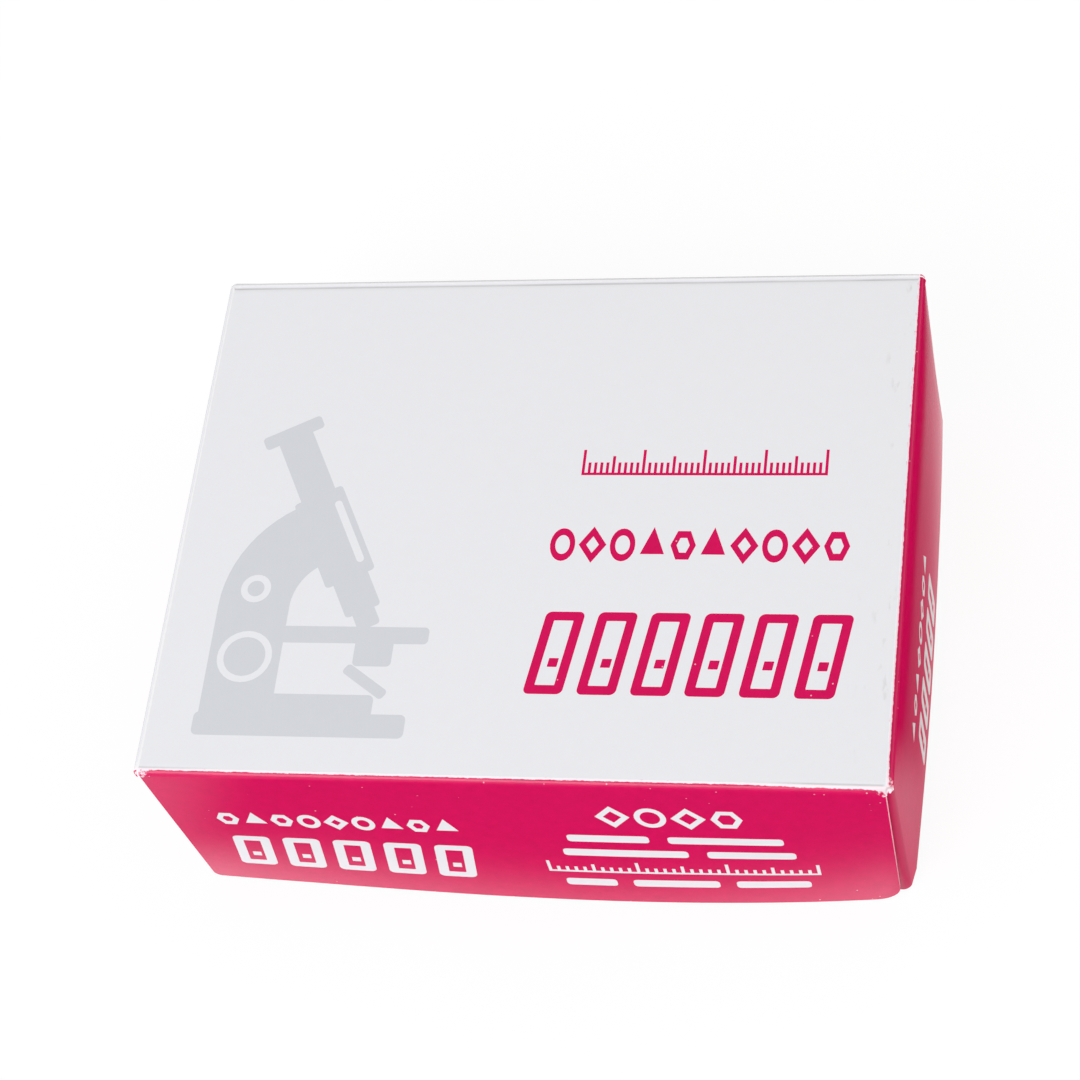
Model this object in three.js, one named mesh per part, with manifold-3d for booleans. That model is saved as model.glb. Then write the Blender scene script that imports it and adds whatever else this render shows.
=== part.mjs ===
// A box of fifty glass microscope slides, in millimetres, +Z up.
//
// The box is a telescoping carton made of two folded card trays. The lower tray holds
// the slides, which stand on their long edges in one row. The lid is a second tray
// turned upside down, whose walls reach almost to the table, and it lifts straight off.
// The origin is on the table under the middle of the box, X runs along the slides and
// Y runs through the stack, with the front at -Y.
import * as THREE from "three";
import { mergeVertices } from "three/addons/utils/BufferGeometryUtils.js";
import Module from "manifold-3d";

// Glass slides: plain, with ground edges.
const slideLength = 76.2;
const slideWidth = 25.4;
const slideThickness = 1.1;
const groundEdge = 0.15; // width and depth of the ground bevel round each face
const slideCount = 50;
const slideAirGap = 0.04; // between the faces of neighbouring slides

// Room for the slides in the lower tray.
const slideEndClearance = 0.6; // slide end to short wall
const stackClearance = 0.5; // outermost slide to glue flap
const slideSeatGap = 0.05; // slide edge to tray floor
const headroom = 0.6; // slide edge to tray rim

// Card, the same for both trays.
const cardThickness = 0.5;
const foldRadius = 0.25; // inside radius of every fold
const cornerDip = 0.1; // how far a glue flap's fold stays under the panel's face
const glueBite = 0.08; // how far a glue flap beds into the long wall that covers it
const flapEdgeGap = 0.5; // glue flap's cut edges, short of the panel and of the rim

// Lower tray.
const trayFlapLength = 16;
const trayFlapTaper = 2.5; // how much each edge of a flap closes in towards its tip
const trayWallTaper = 0.3; // how much further in a long wall's end stands at the rim
const trayRimCorner = 1.2; // radius of a long wall's corners at the rim

// Lid.
const lidClearance = 0.35; // lid's inside to tray's outside, on each of the four sides
const lidSeatGap = 0.3; // tray rim to the lid's panel
const lidFootGap = 0.6; // long wall's rim to the table
const lidEndStep = 0.7; // how much shorter the short walls are than the long ones
const lidFlapLength = 18;
const lidFlapTaper = 3;
const lidWallTaper = 0.6;
const lidRimCorner = 2.6;
const lidWallBow = 1.5; // how far the free rim of a long wall springs outwards
const lidBowSkew = 0.35; // moves the highest point of the bow to one side, as a share
const lidBowPower = 1.5; // 1 leans the wall like a board, more curls it near the rim

// How finely curved surfaces are cut up.
const foldSteps = 4; // facets round each fold
const bowStepsAlong = 14;
const bowStepsUp = 5;

// Sizes that follow from the ones above.
const stackDepth = slideCount * slideThickness + (slideCount - 1) * slideAirGap;
const trayLength = slideLength + 2 * (slideEndClearance + cardThickness);
const trayDepth = stackDepth + 2 * (stackClearance + 2 * cardThickness);
const slideFoot = cardThickness + slideSeatGap;
const trayHeight = slideFoot + slideWidth + headroom;
const lidLength = trayLength + 2 * (lidClearance + cardThickness);
const lidDepth = trayDepth + 2 * (lidClearance + 2 * cardThickness);
const boxHeight = trayHeight + lidSeatGap + cardThickness;
const lidWallHeight = boxHeight - lidFootGap;
const lidEndHeight = lidWallHeight - lidEndStep;

const white = new THREE.Color("#ebebed");
const crimson = new THREE.Color("#d2055a");
const greyBoard = new THREE.Color("#d9d5cc");

const wasm = await Module();
wasm.setup();

// Extrusions run along their own +Z. These turn them to run along the box's X or Y,
// with the drawn outline's second axis as the box's Z.
const alongX = new THREE.Matrix4().makeBasis(
  new THREE.Vector3(0, 1, 0),
  new THREE.Vector3(0, 0, 1),
  new THREE.Vector3(1, 0, 0),
);
const alongY = new THREE.Matrix4().makeBasis(
  new THREE.Vector3(1, 0, 0),
  new THREE.Vector3(0, 0, 1),
  new THREE.Vector3(0, -1, 0),
);

// An outline drawn as points and extruded by a depth, centred on its own middle.
function extrude(points, depth, steps = 1) {
  const geometry = new THREE.ExtrudeGeometry(new THREE.Shape(points), {
    depth,
    steps,
    bevelEnabled: false,
  });
  return geometry.translate(0, 0, -depth / 2);
}

function arc(x, y, radius, fromDegrees, toDegrees, steps) {
  return Array.from({ length: steps + 1 }, (_, i) => {
    const share = i / steps;
    const angle = THREE.MathUtils.degToRad(
      fromDegrees + (toDegrees - fromDegrees) * share,
    );
    return new THREE.Vector2(x + radius * Math.cos(angle), y + radius * Math.sin(angle));
  });
}

// Points strictly between two ends, so that a straight stretch can be bent later.
function between(start, end, steps) {
  return Array.from({ length: steps - 1 }, (_, i) => start.clone().lerp(end, (i + 1) / steps));
}

// manifold-3d joins and cuts closed meshes that share their vertices.
function toSolid(geometry) {
  geometry.deleteAttribute("normal");
  geometry.deleteAttribute("uv");
  const merged = mergeVertices(geometry);
  return new wasm.Manifold(
    new wasm.Mesh({
      numProp: 3,
      vertProperties: merged.getAttribute("position").array,
      triVerts: new Uint32Array(merged.index.array),
    }),
  );
}

function toGeometry(solid) {
  const { vertProperties, triVerts } = solid.getMesh();
  const indexed = new THREE.BufferGeometry();
  indexed.setAttribute("position", new THREE.BufferAttribute(vertProperties, 3));
  indexed.setIndex(new THREE.BufferAttribute(triVerts, 1));
  const geometry = indexed.toNonIndexed();
  geometry.computeVertexNormals();
  return geometry;
}

// A panel with a wall folded up along each side, drawn across the folds.
function foldedSection(width, height, stepsUp) {
  const outside = width / 2;
  const inside = outside - cardThickness;
  const bend = cardThickness + foldRadius;
  const outerFoot = new THREE.Vector2(outside, bend);
  const outerRim = new THREE.Vector2(outside, height);
  const innerRim = new THREE.Vector2(inside, height);
  const innerFoot = new THREE.Vector2(inside, bend);
  const right = [
    ...arc(outside - bend, bend, bend, -90, 0, foldSteps),
    ...between(outerFoot, outerRim, stepsUp),
    outerRim,
    innerRim,
    ...between(innerRim, innerFoot, stepsUp),
    ...arc(inside - foldRadius, bend, foldRadius, 0, -90, foldSteps),
  ];
  const left = right.map((p) => new THREE.Vector2(-p.x, p.y)).reverse();
  return [...right, ...left];
}

// Moves the long walls of a tray outwards. A wall stays put at its fold and at both
// ends, and moves most at its free rim, a little to one side of its middle.
function bowWalls(geometry, tray) {
  const position = geometry.getAttribute("position");
  const reach = tray.length / 2 - cardThickness - foldRadius;
  const fold = cardThickness + foldRadius;
  for (let i = 0; i < position.count; i++) {
    const side = Math.sign(position.getY(i));
    const along = THREE.MathUtils.clamp(position.getX(i) / reach, -1, 1);
    const up = Math.max(0, (position.getZ(i) - fold) / (tray.height - fold));
    const share = (1 - along ** 2) * (1 + lidBowSkew * side * along);
    const bow = tray.bow * share * up ** lidBowPower;
    position.setY(i, position.getY(i) + side * bow);
  }
  return geometry;
}

// Both short walls and the panel between them. The panel reaches to the long walls'
// folds, and the walls stop where the glue flaps take over to turn the corner.
function shortWalls(tray) {
  const bend = cardThickness + foldRadius;
  const section = foldedSection(tray.length, tray.endHeight, 1);
  const panelEnd = tray.depth / 2 - bend;
  const strip = toSolid(extrude(section, 2 * panelEnd).applyMatrix4(alongY));

  const wallEnd = panelEnd - cardThickness;
  const across = tray.length + 2 * bend;
  const right = [
    new THREE.Vector2(panelEnd + bend, -bend),
    new THREE.Vector2(panelEnd + bend, bend),
    new THREE.Vector2(wallEnd, bend),
    new THREE.Vector2(wallEnd, tray.endHeight + bend),
  ];
  const left = right.map((p) => new THREE.Vector2(-p.x, p.y)).reverse();
  const outline = extrude([...right, ...left], across).applyMatrix4(alongX);
  return strip.intersect(toSolid(outline));
}

// Both long walls and the panel between them. Their raw ends start where the corner's
// rounding does and close in towards the rim, where the wall's corners are round.
function longWalls(tray) {
  const bend = cardThickness + foldRadius;
  const bowed = tray.bow > 0;
  const above = tray.height + tray.rimCorner;
  const section = foldedSection(tray.depth, above, bowed ? bowStepsUp : 1);
  const foot = tray.length / 2 - bend;
  const strip = extrude(section, 2 * foot, bowed ? bowStepsAlong : 1);
  const walls = toSolid(bowWalls(strip.applyMatrix4(alongX), tray));

  const rim = foot - tray.wallTaper;
  const across = tray.depth + 4 * tray.bow + 2 * bend;
  const right = [
    new THREE.Vector2(foot + bend, -bend),
    new THREE.Vector2(foot + bend, bend),
    new THREE.Vector2(foot, bend),
    ...arc(rim - tray.rimCorner, tray.height - tray.rimCorner, tray.rimCorner, 0, 90, foldSteps),
  ];
  const left = right.map((p) => new THREE.Vector2(-p.x, p.y)).reverse();
  const outline = extrude([...right, ...left], across).applyMatrix4(alongY);
  return walls.intersect(toSolid(outline));
}

// The flap that carries a short wall round one corner and is glued inside the long
// wall. sideX and sideY are 1 or -1 and pick the corner.
function glueFlap(tray, sideX, sideY) {
  const bend = cardThickness + foldRadius;
  const x = tray.length / 2;
  const y = tray.depth / 2 - cardThickness;
  const tip = x - tray.flapLength;
  const root = y - 2 * bend; // the section starts inside the short wall
  const stepsUp = tray.bow > 0 ? bowStepsUp : 1;
  const bedded = new THREE.Vector2(x - 2 * bend, y + glueBite);
  const outerTip = new THREE.Vector2(tip, y + glueBite);
  const innerTip = new THREE.Vector2(tip, y - cardThickness);
  const innerBend = new THREE.Vector2(x - bend, y - cardThickness);
  const section = [
    new THREE.Vector2(x, root),
    ...arc(x - bend, y - bend, bend, 0, 90, foldSteps),
    bedded,
    ...between(bedded, outerTip, stepsUp),
    outerTip,
    innerTip,
    ...between(innerTip, innerBend, stepsUp),
    ...arc(x - bend, y - bend, foldRadius, 90, 0, foldSteps),
    new THREE.Vector2(x - cardThickness, root),
  ].map((p) => new THREE.Vector2(p.x * sideX, p.y * sideY));
  const upright = extrude(section, tray.height, stepsUp).translate(0, 0, tray.height / 2);
  const flap = toSolid(bowWalls(upright, tray));

  // Round the corner the flap runs up under the panel's fold. Past it, both of its
  // edges close in towards the tip.
  const low = cardThickness + flapEdgeGap;
  const high = tray.endHeight - flapEdgeGap;
  const outline = [
    [x + bend, bend],
    [x, bend],
    [x - 2 * bend, cornerDip],
    [x - 2 * bend, low],
    [tip, low + tray.flapTaper],
    [tip - bend, low + tray.flapTaper],
    [tip - bend, high - tray.flapTaper],
    [tip, high - tray.flapTaper],
    [x - bend, high],
    [x + bend, high],
  ].map(([across, up]) => new THREE.Vector2(across * sideX, up));
  const depth = tray.depth + 4 * tray.bow + 2 * bend;
  const cut = toSolid(extrude(outline, depth).applyMatrix4(alongY));
  return flap.intersect(cut);
}

// One sheet of card folded into an open tray, its panel on z = 0 and its walls up.
function foldedTray(tray) {
  let solid = shortWalls(tray).add(longWalls(tray));
  for (const sideX of [-1, 1])
    for (const sideY of [-1, 1]) solid = solid.add(glueFlap(tray, sideX, sideY));
  return toGeometry(solid);
}

// Colours the faces of the lid's sheet: its panel is printed white outside, its walls
// crimson, and its inside and raw edges are plain board.
function printSheet(geometry, tray) {
  const position = geometry.getAttribute("position");
  const normal = geometry.getAttribute("normal");
  const colors = new Float32Array(position.count * 3);
  const corner = new THREE.Vector3();
  const centre = new THREE.Vector3();
  const facing = new THREE.Vector3();
  for (let face = 0; face < position.count; face += 3) {
    centre.set(0, 0, 0);
    for (let i = face; i < face + 3; i++) {
      centre.addScaledVector(corner.fromBufferAttribute(position, i), 1 / 3);
    }
    facing.fromBufferAttribute(normal, face);
    const outOfEnd = Math.sign(centre.x) * facing.x;
    const outOfSide = Math.sign(centre.y) * facing.y;
    const onEnd = Math.abs(centre.x) > tray.length / 2 - cardThickness / 2;
    const onSide = Math.abs(centre.y) > tray.depth / 2 - cardThickness / 2;
    let color = greyBoard;
    if (facing.z < -Math.SQRT1_2) color = white;
    else if (onEnd && outOfEnd > Math.SQRT1_2) color = crimson;
    else if (onSide && outOfSide > Math.SQRT1_2) color = crimson;
    for (let i = face; i < face + 3; i++) color.toArray(colors, i * 3);
  }
  geometry.setAttribute("color", new THREE.BufferAttribute(colors, 3));
  return geometry;
}

function makeTray() {
  const geometry = foldedTray({
    length: trayLength,
    depth: trayDepth,
    height: trayHeight,
    endHeight: trayHeight,
    flapLength: trayFlapLength,
    flapTaper: trayFlapTaper,
    wallTaper: trayWallTaper,
    rimCorner: trayRimCorner,
    bow: 0,
  });
  const material = new THREE.MeshStandardMaterial({
    color: greyBoard,
    roughness: 0.85,
    metalness: 0,
  });
  const mesh = new THREE.Mesh(geometry, material);
  mesh.name = "tray";
  return mesh;
}

function makeLid() {
  const sheet = {
    length: lidLength,
    depth: lidDepth,
    height: lidWallHeight,
    endHeight: lidEndHeight,
    flapLength: lidFlapLength,
    flapTaper: lidFlapTaper,
    wallTaper: lidWallTaper,
    rimCorner: lidRimCorner,
    bow: lidWallBow,
  };
  const geometry = printSheet(foldedTray(sheet), sheet);
  const material = new THREE.MeshStandardMaterial({
    vertexColors: true,
    roughness: 0.3,
    metalness: 0,
  });
  const mesh = new THREE.Mesh(geometry, material);
  mesh.name = "lid";
  mesh.rotation.x = Math.PI;
  mesh.position.z = boxHeight;
  return mesh;
}

// A slide is drawn flat, with the ground bevel round both faces, and stood on edge.
function makeSlides() {
  const length = slideLength - 2 * groundEdge;
  const width = slideWidth - 2 * groundEdge;
  const outline = new THREE.Shape([
    new THREE.Vector2(-length / 2, -width / 2),
    new THREE.Vector2(length / 2, -width / 2),
    new THREE.Vector2(length / 2, width / 2),
    new THREE.Vector2(-length / 2, width / 2),
  ]);
  const geometry = new THREE.ExtrudeGeometry(outline, {
    depth: slideThickness - 2 * groundEdge,
    bevelThickness: groundEdge,
    bevelSize: groundEdge,
    bevelSegments: 1,
  });
  geometry.translate(0, 0, groundEdge - slideThickness / 2).applyMatrix4(alongY);
  const material = new THREE.MeshPhysicalMaterial({
    color: new THREE.Color("#e6f2ee"),
    roughness: 0.02,
    metalness: 0,
    transmission: 1,
    thickness: slideThickness,
    ior: 1.52,
  });

  const slides = new THREE.Group();
  const pitch = slideThickness + slideAirGap;
  for (let i = 0; i < slideCount; i++) {
    const slide = new THREE.Mesh(geometry, material);
    slide.name = "slide_" + String(i + 1).padStart(2, "0");
    slide.position.y = (i - (slideCount - 1) / 2) * pitch;
    slides.add(slide);
  }
  slides.position.z = slideFoot + slideWidth / 2;
  return slides;
}

const slideBox = new THREE.Group();
slideBox.add(makeTray(), makeSlides(), makeLid());

export default slideBox;
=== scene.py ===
"""A closed card box of fifty glass microscope slides, standing on a pale table."""

import math

import bmesh
import bpy
from mathutils import Matrix, Vector, noise
from mathutils.geometry import delaunay_2d_cdt


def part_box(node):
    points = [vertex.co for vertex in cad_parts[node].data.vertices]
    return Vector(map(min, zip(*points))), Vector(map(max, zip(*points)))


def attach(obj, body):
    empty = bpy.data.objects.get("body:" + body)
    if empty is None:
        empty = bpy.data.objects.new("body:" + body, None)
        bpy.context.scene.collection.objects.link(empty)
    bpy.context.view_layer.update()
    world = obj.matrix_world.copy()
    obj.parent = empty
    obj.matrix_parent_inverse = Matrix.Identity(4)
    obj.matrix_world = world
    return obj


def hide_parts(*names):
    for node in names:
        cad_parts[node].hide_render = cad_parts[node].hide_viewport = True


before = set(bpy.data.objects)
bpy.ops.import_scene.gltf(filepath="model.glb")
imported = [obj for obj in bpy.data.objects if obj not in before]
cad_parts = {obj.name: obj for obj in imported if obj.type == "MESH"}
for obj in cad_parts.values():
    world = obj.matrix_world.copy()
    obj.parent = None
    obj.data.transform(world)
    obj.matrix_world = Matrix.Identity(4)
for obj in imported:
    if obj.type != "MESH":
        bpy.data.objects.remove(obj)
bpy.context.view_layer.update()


# ------------------------------------------------------------------- The lid's card
# The lid is one sheet of solid bleached board, half a millimetre thick. It is printed,
# faced with clear film, die-cut, creased and folded into a deep tray whose short walls
# turn the corners as flaps glued inside the long walls, then stood open side down.
MM = 0.001
CARD = 0.5  # mm, thickness of the board
FOLD = 0.75  # mm, radius round the outside of a fold
QUARTER = FOLD * math.pi / 2  # mm of card that go into one fold
GLUE = 0.02  # mm of glue between a flap and the long wall it holds
JOINED = 1e-4  # mm within which two points of the card are one
FOLD_STEPS = 10  # faces round a fold
CORNER_STEPS = 8  # faces round a rim's corner


class Sheet:
    """A tray of folded card, in mm. Its size is measured outside, without the bow."""

    def __init__(self, length, depth, wall, end_wall, panel_z, up, flap, flap_taper):
        self.length = length
        self.depth = depth
        self.wall = wall  # height of the long walls, from the panel's face to the rim
        self.end_wall = end_wall  # height of the short walls
        self.panel_z = panel_z  # height of the panel's outer face above the table
        self.up = up  # 1 if the panel is on top, -1 if it is underneath
        self.flap = flap  # reach of a glue flap from the short wall's face
        self.flap_taper = flap_taper  # how much a flap narrows at each side of its tip
        self.bow = 0  # how far the long walls' rims spring outwards
        self.bow_skew = 0  # how far the bow leans to one end, from 0 to 1
        self.bow_power = 1.5  # how late the bow comes on down the wall
        self.wall_taper = 0.3  # how far a long wall's ends are cut back
        self.end_bow = 0  # how far the short walls' rims spring outwards
        self.corner_give = 0  # how far the short walls' lower corners are pressed in
        self.rim_corners = {}  # radius of a long wall's rim corner, by its side in x and y
        self.rim_corner = 1.2  # the same for a corner that isn't among those
        self.end_swell = 0  # how far the short walls bulge just under their fold
        self.crease_depth = 0.03
        self.waviness = 0  # height of the slight waves in the walls and panel
        self.a = length / 2 - FOLD  # where the short walls' folds start
        self.b = depth / 2 - FOLD  # where the long walls' folds start
        self.turn = self.b - CARD  # where the short walls start to turn the corners


def blank_outline(sheet):
    """The die-cut outline of the flat blank, seen from its printed side."""
    a, b, turn = sheet.a, sheet.b, sheet.turn
    rim_u = a + QUARTER + sheet.end_wall - FOLD
    rim_v = b + QUARTER + sheet.wall - FOLD
    tip_v = turn + QUARTER + sheet.flap - FOLD
    fold_u = a + QUARTER
    rim_cut = 0.3  # how far a flap's rim stands back from the short wall's
    rim_end = turn + 0.2  # where the short wall's rim starts to run back
    slit = 0.12  # width of the cut beside a flap
    end = [
        (rim_u, 0),
        (rim_u, rim_end),
        (rim_u - rim_cut, turn + QUARTER),
        (rim_u - rim_cut - sheet.flap_taper, tip_v),
        (fold_u + 2 * slit + sheet.flap_taper, tip_v),
        (fold_u + 2 * slit, turn + QUARTER),
        (fold_u + slit, turn + slit),
        (fold_u, turn),
    ]
    for i in range(FOLD_STEPS + 1):
        angle = math.radians(90 * i / FOLD_STEPS)
        end.append((a + QUARTER * math.cos(angle), b + QUARTER * math.sin(angle)))
    outline = []
    for side_u, side_v in ((1, 1), (-1, 1), (-1, -1), (1, -1)):
        quarter = list(end)
        r = sheet.rim_corners.get((side_u, side_v), sheet.rim_corner)
        middle_u, middle_v = a - sheet.wall_taper - r, rim_v - r
        for i in range(CORNER_STEPS + 1):
            angle = math.radians(90 * i / CORNER_STEPS)
            quarter.append((middle_u + r * math.cos(angle), middle_v + r * math.sin(angle)))
        quarter.append((0, rim_v))
        if side_u != side_v:
            quarter.reverse()
        outline += [(side_u * u, side_v * v) for u, v in quarter[:-1]]
    return outline


def blank_lines(sheet):
    """Straight lines ruled over the blank, so that it has points where it bends."""
    a, b, turn = sheet.a, sheet.b, sheet.turn
    pitch = 2.5  # mm between the lines down a wall
    columns = 32  # of the panel, which come about as close together
    rows = 26
    far_u = a + QUARTER + sheet.end_wall
    far_v = b + QUARTER + sheet.wall
    tip_v = turn + QUARTER + sheet.flap
    folds = [QUARTER * i / FOLD_STEPS for i in range(FOLD_STEPS + 1)]
    creases = [-0.9, -0.6, -0.45, -0.32, -0.2, -0.1]  # mm, close together in the crease
    below_fold = QUARTER + 0.8
    lines = []
    for i in range(columns + 1):
        u = a * (2 * i / columns - 1)
        lines.append(((u, -far_v), (u, far_v)))
    for i in range(rows + 1):
        v = b * (2 * i / rows - 1)
        lines.append(((-far_u, v), (far_u, v)))
    down = [QUARTER + pitch * (i + 1) for i in range(int(sheet.wall / pitch))]
    for side in (-1, 1):
        for s in creases + folds + down:
            lines.append(((-a, side * (b + s)), (a, side * (b + s))))
        for s in creases + folds:
            lines.append(((side * (a + s), -b), (side * (a + s), b)))
        for s in [below_fold] + down:
            lines.append(((side * (a + s), -tip_v), (side * (a + s), tip_v)))
        for end in (-1, 1):
            for s in folds + down:
                v = side * (turn + s)
                lines.append(((end * (a + QUARTER), v), (end * far_u, v)))
            rings = [[] for _ in folds]
            for i in range(FOLD_STEPS + 1):
                angle = math.radians(90 * i / FOLD_STEPS)
                cos, sin = math.cos(angle), math.sin(angle)
                for ring, s in zip(rings, folds):
                    ring.append((end * (a + s * cos), side * (b + s * sin)))
                lines.append((rings[0][-1], rings[-1][-1]))
            for ring in rings[1:]:
                lines.extend(zip(ring, ring[1:]))
    return lines


def ramp(value, start, end):
    """0 at start and 1 at end, straight between them and level beyond."""
    return min(1, max(0, (value - start) / (end - start)))


def hump(off, reach):
    """A soft hump, 1 in its middle and all but gone at twice its reach."""
    return math.exp(-((off / reach) ** 2))


def fold_point(sheet, u, v):
    """Where a point of the blank's printed side goes, and which way it then faces."""
    side_u = math.copysign(1, u)
    side_v = math.copysign(1, v)
    a = abs(u) - sheet.a
    b = abs(v) - sheet.b
    past_turn = abs(v) - sheet.turn
    if a > QUARTER + JOINED and past_turn > 0:
        # A short wall turns the corner as a flap.
        angle = min(past_turn / FOLD, math.pi / 2)
        x = sheet.a + FOLD * math.cos(angle) - max(0, past_turn - QUARTER)
        y = sheet.turn + (FOLD - GLUE) * math.sin(angle)
        z = QUARTER - FOLD - a
        normal = Vector((math.cos(angle), math.sin(angle), 0))
    elif a > 0 and b > 0:
        # Two folds meet in a round tip.
        r = math.hypot(a, b)
        angle = r / FOLD
        sin = math.sin(angle)
        x = sheet.a + FOLD * sin * a / r
        y = sheet.b + FOLD * sin * b / r
        z = FOLD * (math.cos(angle) - 1)
        normal = Vector((sin * a / r, sin * b / r, math.cos(angle)))
    elif b > 0:
        # A long wall hangs from its fold.
        angle = min(b / FOLD, math.pi / 2)
        x = abs(u)
        y = sheet.b + FOLD * math.sin(angle)
        z = FOLD * (math.cos(angle) - 1) - max(0, b - QUARTER)
        normal = Vector((0, math.sin(angle), math.cos(angle)))
    elif a > 0:
        # A short wall hangs from its fold.
        angle = min(a / FOLD, math.pi / 2)
        x = sheet.a + FOLD * math.sin(angle)
        y = abs(v)
        z = FOLD * (math.cos(angle) - 1) - max(0, a - QUARTER)
        normal = Vector((math.sin(angle), 0, math.cos(angle)))
    else:
        x, y, z = abs(u), abs(v), 0
        normal = Vector((0, 0, 1))
    down = max(0, -z - FOLD)
    # The free rims of the long walls spring outwards, and the flaps glued to them too.
    if sheet.bow and y > sheet.turn and normal.y > 0.5:
        along = min(x / sheet.a, 1)
        skew = -sheet.bow_skew * side_v * side_u
        share = (1 - along**2) * (1 + skew * along)
        low = down / (sheet.wall - FOLD)
        y += sheet.bow * share * low**sheet.bow_power
        slope_z = sheet.bow * share * sheet.bow_power * low ** (sheet.bow_power - 1)
        slope_x = sheet.bow * (skew - 2 * along - 3 * skew * along**2) / sheet.a
        normal.x -= slope_x * low**sheet.bow_power
        normal.z += slope_z / (sheet.wall - FOLD)
        normal.normalize()
    # A short wall swells just under its fold, where the crease holds it back, bows
    # out a little at its rim, and its lower corners are pressed in.
    if a > QUARTER:
        low = down / (sheet.end_wall - FOLD)
        power = sheet.bow_power
        if past_turn <= 0:
            along = abs(v) / sheet.turn
            reach = 4  # mm below the fold, where the swell is greatest
            swell = sheet.end_swell * (1 - along**4) * math.exp(1 - down / reach)
            x += swell * down / reach
            normal.z += swell * (1 - down / reach) / reach
            bow = sheet.end_bow * (1 - along**2)
            x += bow * low**power
            normal.z += power * bow * low ** (power - 1) / (sheet.end_wall - FOLD)
            normal.y += 2 * sheet.end_bow * along / sheet.turn * low**power
        beside = 1.3  # mm of the short wall next to its corner that give with it
        give_reach = beside + QUARTER
        near = ramp(past_turn, -beside, QUARTER)
        x -= sheet.corner_give * low * near**2 * (3 - 2 * near)
        if past_turn <= 0:
            normal.y += sheet.corner_give * low * 6 * near * (1 - near) / give_reach
        normal.normalize()
    place = Vector((side_u * x, side_v * y, z))
    return place, Vector((side_u * normal.x, side_v * normal.y, normal.z))


FAINT = 0.1  # depth of a crease that hardly shows, as a share of the deepest


def pressed_crease(sheet, side, along):
    """How far in from its fold a crease lies, in mm, and how deep it is as a share of
    the deepest, the back one. The front one shows only where the fold was worked, over
    a few millimetres from the left and rather more from the right."""
    if side == "back":
        return 0.28, 1.0
    if side == "end":
        return 0.4, FAINT
    worked_left = ramp(sheet.a + along, 8, 3)
    worked_right = ramp(sheet.a - along, 13, 7)
    return 0.06, FAINT + 0.5 * worked_left + 0.7 * worked_right


def relief(sheet, u, v):
    """How far the printed face stands off: the pressed creases, the bead along each
    fold, crumpled corners and the sheet's slight waves."""
    a = abs(u) - sheet.a
    b = abs(v) - sheet.b
    # Waves 17 mm long and ripples 6 mm long die out within 3 mm of a fold.
    from_fold = max(0, -max(a, b)) + max(0, max(a, b) - QUARTER)
    wave = noise.noise(Vector((u, v, 3)) / 17)
    ripple = 0.3 * noise.noise(Vector((u, v, 9)) / 6)
    height = sheet.waviness * (wave + ripple) * min(1, from_fold / 3)
    sides = (("end", a, b, v), ("back" if v > 0 else "front", b, a, u))
    for side, past, other, along in sides:
        if other > 0:
            continue
        uneven = 1 + 0.5 * noise.noise(Vector((along, past, 5)) / 8)
        inset, share = pressed_crease(sheet, side, along)
        depth = sheet.crease_depth * uneven * share
        groove = depth * hump(past + inset, 0.17)
        bead = 0.5 * depth * hump(past - 0.2, 0.3)
        height += bead - groove
    tip = math.hypot(a - QUARTER / 2, b - QUARTER / 2)
    if tip < 4:
        crumple = 1.6 * noise.noise(Vector((u, v, 0)) / 0.6)
        height += sheet.crease_depth * crumple * hump(tip, 1.1)
    return height


def fold_wear_and_highlight(sheet, u, v):
    """How worn the film and ink are, from 0 to 1: along the folds, where the fine line is also
    a painted highlight, and at the tips.
    """
    a = abs(u) - sheet.a
    b = abs(v) - sheet.b
    # Every fold is worn along a fine line just past its start, which also paints the fold's
    # highlight.
    line = 0.1 * QUARTER
    breadth = 0.13
    wear_and_highlight = 0
    if a < QUARTER:
        wear_and_highlight = 0.95 * hump(b - line, breadth)
    if b < QUARTER:
        wear_and_highlight = max(wear_and_highlight, 0.95 * hump(a - line, breadth))
    if v < 0 and a < QUARTER:
        # The front fold has cracked open over its right-hand end, is nicked a fifth of
        # the way along, and its film has lifted at the left-hand tip.
        cracked = 0.5 * ramp(u - sheet.a, -15, -6) * hump(b - 0.3, 0.17)
        nicked = 0.6 * hump(u + 0.6 * sheet.a, 0.7) * hump(b - 0.7, 0.4)
        lifted = 0.12 * hump(u + sheet.a - 1, 1.3) * hump(b - 0.45, 0.35)
        # The wall has been rubbed for some millimetres below it too.
        rubbed = 0.16 * hump(max(0, b), 7)
        wear_and_highlight += cracked + nicked + lifted + rubbed
    tip = math.hypot(a - QUARTER / 2, b - QUARTER / 2)
    bruised = 0.65 * hump(tip, 0.28)
    # The rims of the long walls are chafed, and knocked bare beside their corners.
    past_rim = b - QUARTER - sheet.wall + FOLD
    chafed = 0.3 * hump(past_rim, 0.25)
    knocked = 0.7 * hump(math.hypot(a + sheet.wall_taper, past_rim + 2.4), 0.4)
    return min(1, wear_and_highlight + bruised + chafed + knocked)


def painted_crease_shade(sheet, u, v):
    """How much painted shade darkens the card: in a ring round the bruised front right tip,
    in the flaps' folds, along the right-hand fold and in the panel's creases."""
    a = abs(u) - sheet.a
    b = abs(v) - sheet.b
    tip = math.hypot(a - QUARTER / 2, b - QUARTER / 2)
    if u > 0 > v and tip < 1:
        return 0.42 * hump(tip - 0.5, 0.13)
    if a > QUARTER and abs(v) > sheet.turn:
        return 0.3 if u > 0 > v else 0.1
    if u > 0 and a > 0 > b:
        return 0.35 * hump(a - 0.55, 0.5)
    if a > 0 or b > 0.2:
        return 0
    inset, share = pressed_crease(sheet, "back" if v > 0 else "front", u)
    uneven = 0.9 + 0.5 * noise.noise(Vector((u, v, 2)) / 4)
    return 0.55 * (share - FAINT) * hump(b + inset, 0.09) * uneven


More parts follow.
